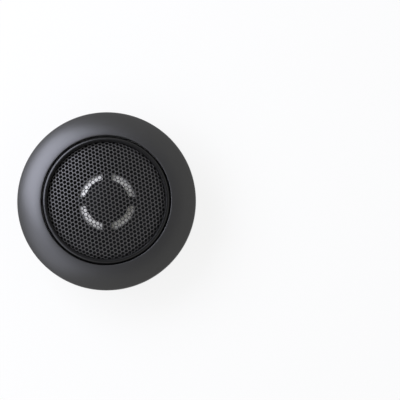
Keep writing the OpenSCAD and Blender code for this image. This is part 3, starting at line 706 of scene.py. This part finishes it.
def repeatHole(sheet, discR):
    # close-packed rows, with a hole on the axis, cut to a disc
    step = grilleSize["pitch"] * mm
    rowHigh = math.sin(math.radians(60))
    rows = math.ceil(discR * mm / step / rowHigh) + 1
    count = 2 * rows + 1
    applyModifier(sheet, "ARRAY", count=2 * count, use_relative_offset=False, use_constant_offset=True,
                  constant_offset_displace=(step, 0, 0))
    applyModifier(sheet, "ARRAY", count=count, use_relative_offset=False, use_constant_offset=True,
                  constant_offset_displace=(step / 2, step * rowHigh, 0))
    editMode(sheet)
    bpy.ops.transform.translate(value=(-(count + rows / 2) * step, -rows * rowHigh * step, 0))
    pick(sheet, "FACE", lambda f: f.calc_center_median().xy.length > discR * mm + step)
    bpy.ops.mesh.delete(type="FACE")
    bpy.ops.mesh.select_mode(type="VERT")
    closeUp()
    for k in range(grilleSize["trims"]):
        turn = math.tau * k / grilleSize["trims"]
        out = Vector((math.cos(turn), math.sin(turn), 0))
        bpy.ops.mesh.select_all(action="SELECT")
        bpy.ops.mesh.bisect(plane_co=out * discR * mm, plane_no=out, clear_outer=True)
    objectMode()


def drawDome(sheet, radii, heights, along):
    # lengths along the sheet are kept, so the holes keep their pitch over the dome
    slopes = np.gradient(heights, radii)
    for v in sheet.data.vertices:
        flat, turn = v.co.xy.length / mm, math.atan2(v.co.y, v.co.x) + math.radians(grilleSize["turn"])
        r = float(np.interp(flat, along, radii))
        slope = float(np.interp(r, radii, slopes))
        lift = v.co.z / mm / math.hypot(1, slope)
        r, z = r - slope * lift, float(np.interp(r, radii, heights)) + lift
        v.co = (r * math.cos(turn) * mm, r * math.sin(turn) * mm, z * mm)
    editMode(sheet)
    closeUp()
    bpy.ops.mesh.delete_loose()
    bpy.ops.mesh.select_all(action="SELECT")
    if sum(f.normal.z for f in bmesh.from_edit_mesh(sheet.data).faces) < 0:
        bpy.ops.mesh.flip_normals()
    objectMode()


def stampGrille():
    radii, heights, along = domeProfile()
    sheet = punchHole()
    repeatHole(sheet, along[-1])
    drawDome(sheet, radii, heights, along)
    applyModifier(sheet, "SOLIDIFY", thickness=grilleSize["sheet"] * mm, offset=-1, use_even_offset=True)
    smooth(sheet, 40)
    dress(sheet, "pod", slotOf["grille"], "grille")


stampGrille()

# phase plate: the solid with its plug and its throat drawn out a little, so that the dome shows as four arcs

# radii are (solid, here), and the throat's two edges are (height, lift)
plateSize = {"plugR": (7.2, 7.5), "plugLift": 0.45, "throatR": (9.5, 10.0), "throat": ((-1.8, 0.22), (-1.5, 0.5))}


def openPlate():
    size = plateSize
    plate = mergedCopy("phasePlate", "phase_plate")
    old, new = size["plugR"]
    pick(plate, "VERT", lambda v: v.co.xy.length / mm < old + slack)
    bpy.ops.transform.translate(value=(0, 0, size["plugLift"] * mm))
    pick(plate, "VERT", lambda v: atRadius(v, old))
    widen(new / old)
    old, new = size["throatR"]
    for height, lift in size["throat"]:
        pick(plate, "VERT", lambda v: atRadius(v, old) and abs(v.co.z / mm - height) < slack)
        widen(new / old)
        bpy.ops.transform.translate(value=(0, 0, lift * mm))
    objectMode()
    smooth(plate)
    dress(plate, "pod", slotOf["phase_plate"], "phase_plate")


openPlate()
print("phase plate opened")

# nut: a ring of soft grips joined to a plain collar

nutSize = {"boreR": 25.19, "gripR": 27.19, "collarR": 27.99, "collarHigh": 1.2, "grips": 24, "perGrip": 16,
           "scoopR": 1.3, "scoopOut": 0.5, "scoopReach": 3, "gripRound": 0.3, "collarRound": 0.25, "entry": 0.2,
           "boreStep": 0.02, "steps": 192}


def mouldNut():
    size = nutSize
    low, high = (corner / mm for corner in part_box("mounting_nut"))
    collarLow = high.z - size["collarHigh"]
    collar = spinOutline("nutRing", roundCorners([
        (size["boreR"], collarLow), (size["collarR"], collarLow, size["collarRound"]),
        (size["collarR"], high.z, size["collarRound"]), (size["boreR"], high.z, size["entry"])]), size["steps"])
    gripBore = size["boreR"] + size["boreStep"]  # so that the two bores never lie on each other
    count = size["grips"] * size["perGrip"]
    objectMode()
    bpy.ops.mesh.primitive_circle_add(vertices=count, radius=gripBore * mm)
    grip = bpy.context.object
    editMode(grip)
    bpy.ops.transform.translate(value=(0, 0, low.z * mm))
    bpy.ops.mesh.extrude_edges_move()
    widen(size["gripR"] / gripBore)
    # each scoop is a few columns pushed in to a round
    middle = size["gripR"] + size["scoopOut"]
    for column in range(-size["scoopReach"], size["scoopReach"] + 1):
        turn = math.tau * column / count
        aside = middle * math.sin(turn)
        if abs(aside) >= size["scoopR"]:
            continue
        depth = middle * math.cos(turn) - math.sqrt(size["scoopR"] ** 2 - aside ** 2)
        pick(grip, "VERT", lambda v: atRadius(v, size["gripR"])
             and round(math.atan2(v.co.y, v.co.x) / math.tau * count - column) % size["perGrip"] == 0)
        widen(depth / size["gripR"])
    bpy.ops.mesh.select_mode(type="FACE")
    bpy.ops.mesh.select_all(action="SELECT")
    rise = (collarLow - low.z + size["collarHigh"] / 2) * mm  # up into the collar
    bpy.ops.mesh.extrude_region_move(TRANSFORM_OT_translate={"value": (0, 0, rise)})
    closeUp()
    outside = (gripBore + size["gripR"]) / 2
    pick(grip, "EDGE", lambda e: all(v.co.z < (low.z + slack) * mm and v.co.xy.length > outside * mm for v in e.verts))
    bpy.ops.mesh.bevel(offset=size["gripRound"] * mm, segments=3, affect="EDGES")
    combine(collar, grip, "UNION")
    smooth(collar, 35)
    dress(collar, "nut", slotOf["mounting_nut"], "mounting_nut")


mouldNut()
print("nut moulded")

# soft, pressed and wound pieces

gasketSize = {"inR": 26.09, "outR": 28.39, "high": 1.6, "edge": 0.3, "seatEdge": 0.08, "steps": 160}


def cutGasket():
    size = gasketSize
    middle = (size["inR"] + size["outR"]) / 2
    ring = spinOutline("gasketRing", roundCorners([
        (size["inR"], 0, size["edge"]), (middle, 0), (size["outR"], 0, size["edge"]),
        (size["outR"], size["high"], size["seatEdge"]), (size["inR"], size["high"], size["seatEdge"])]), size["steps"])
    smooth(ring, 50)
    dress(ring, "bezel_body", slotOf["panel_gasket"], "panel_gasket")


# the top falls by crown at its rim, and flat is a share of the radius with the fall up to there
feltSize = {"edge": 0.22, "foot": 0.05, "crown": 0.06, "flat": (0.6, 0.01), "steps": 96}


def cutFeltDisc():
    size = feltSize
    low, high = (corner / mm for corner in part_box("felt_pad"))
    share, fall = size["flat"]
    disc = spinOutline("feltDisc", roundCorners([
        (0, low.z), (high.x, low.z, size["foot"]), (high.x, high.z - size["crown"], size["edge"]),
        (high.x * share, high.z - fall), (0, high.z)]), size["steps"], closed=False)
    smooth(disc, 50)
    dress(disc, "pod", slotOf["felt_pad"], "felt_pad")


# flexes is where the motion passes from the dome to the pod
surroundSize = {"inR": 10.03, "rollR": 1.0, "rimR": 13.4, "film": 0.15, "lap": 0.03, "rollSteps": 14,
                "flexes": (10.33, 12.0), "steps": 144}


def formSurround():
    size = surroundSize
    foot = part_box("surround")[0].z / mm
    rollX = size["inR"] + size["film"] + size["rollR"] - size["lap"]
    lift = math.degrees(math.asin(size["film"] / size["rollR"]))  # where the roll meets its flat edges
    outline = arc((rollX, foot), size["rollR"], 180 - lift, lift, size["rollSteps"])
    outline += [(size["rimR"], foot + size["film"]), (size["rimR"], foot)]
    outline += arc((rollX, foot), size["rollR"] - size["film"], 0, 180, size["rollSteps"])
    outline += [(size["inR"], foot), (size["inR"], foot + size["film"])]
    roll = spinOutline("surroundRoll", outline, size["steps"])
    smooth(roll, 40)
    paint(roll, slotOf["surround"], "surround")
    near, far = size["flexes"]
    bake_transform(roll)
    # it flexes all round; a share of the pod's motion by distance from the axis is worked out here, but nothing uses it
    reach = np.array([v.co.xy.length / mm for v in roll.data.vertices])
    share = np.clip((reach - near) / (far - near), 0, 1)
    share = share ** 2 * (3 - 2 * share)


tailSize = {"sides": 12, "steps": 40, "flexes": (9.97, 11.55)}


def layTail(name, source):
    # fine wire, laid as one straight piece; in the tweeter it moves with the coil at one end and lies still in its
    # groove at the other
    size = tailSize
    low, high = (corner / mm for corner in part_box(source))
    objectMode()
    bpy.ops.mesh.primitive_circle_add(vertices=size["sides"], radius=(high.x - low.x) / 2 * mm, fill_type="NGON")
    wire = bpy.context.object
    wire.name = wire.data.name = name
    editMode(wire)
    bpy.ops.transform.rotate(value=math.pi / 2, orient_axis="X", center_override=(0, 0, 0))
    bpy.ops.transform.translate(value=((low.x + high.x) / 2 * mm, low.y * mm, (low.z + high.z) / 2 * mm))
    bpy.ops.mesh.select_mode(type="FACE")
    for step in range(size["steps"]):
        bpy.ops.mesh.extrude_region_move(
            TRANSFORM_OT_translate={"value": (0, (high.y - low.y) / size["steps"] * mm, 0)})
    closeUp()
    objectMode()
    smooth(wire, 50)
    paint(wire, slotOf[source], source)
    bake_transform(wire)


# a shoulder of 2 is an ellipse, and more makes the crown flatter and the shoulder rounder
domeSize = {"r": 10.0, "film": 0.15, "shoulder": 4.0, "rings": 24, "steps": 144}


def pressDome():
    size = domeSize
    low, high = (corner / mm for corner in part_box("dome"))
    shares = [math.sin(math.pi / 2 * k / size["rings"]) for k in range(size["rings"] + 1)]
    skin, lining = [], []
    for share in shares:
        fall = math.sqrt(max(1 - share ** size["shoulder"], 0))
        skin.append((size["r"] * share, low.z + (high.z - low.z) * fall))
        lining.append(((size["r"] - size["film"]) * share, low.z + (high.z - size["film"] - low.z) * fall))
    cap = spinOutline("domeCap", skin + lining[::-1], size["steps"], closed=False)
    smooth(cap, 40)
    dress(cap, "diaphragm", slotOf["dome"], "dome")


coilSize = {"wires": 13, "wireFace": 75, "wireSteps": 4}


def windCoil():
    size = coilSize
    low, high = (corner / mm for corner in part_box("voice_coil"))
    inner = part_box("coil_former")[1].x / mm
    gauge = (high.z - low.z) / size["wires"]
    outline = [(inner, high.z), (inner, low.z)]
    for k in range(size["wires"]):
        outline += arc((high.x - gauge / 2, low.z + gauge * (k + 0.5)), gauge / 2, -size["wireFace"], size["wireFace"],
                       size["wireSteps"])
    coil = spinOutline("coilTurns", outline)
    smooth(coil, 60)
    dress(coil, "diaphragm", slotOf["voice_coil"], "voice_coil")


cutGasket()
cutFeltDisc()
formSurround()
layTail("coilTail1", "coil_tail_1")
layTail("coilTail2", "coil_tail_2")
pressDome()
windCoil()
print("gasket, felt, surround, coil tails, dome and coil made")

# mouldings and metal pieces whose plain solids only need their edges rounded

roundedBy = {
    "retainer_ring": ("retainerRing", "bezel_body", 0.15), "slip_washer": ("slipRing", "washer", 0.12),
    "pod_rear": ("podShell", "pod", 0.18), "steel_cup": ("motorCup", "pod", 0.15),
    "terminal_board": ("terminalBoard", "pod", 0.08)}
for k in (1, 2):
    roundedBy[f"terminal_tab_{k}"] = (f"pushTab{k}", "pod", 0.06)
    roundedBy[f"terminal_rivet_{k}"] = (f"tabRivet{k}", "pod", 0.12)
for k in (1, 2, 3):
    roundedBy[f"pod_screw_{k}"] = (f"podScrew{k}", "pod", 0.1)
for source, (name, body, width) in roundedBy.items():
    softenEdges(name, source, body, width)
print("edges rounded on", len(roundedBy), "pieces")
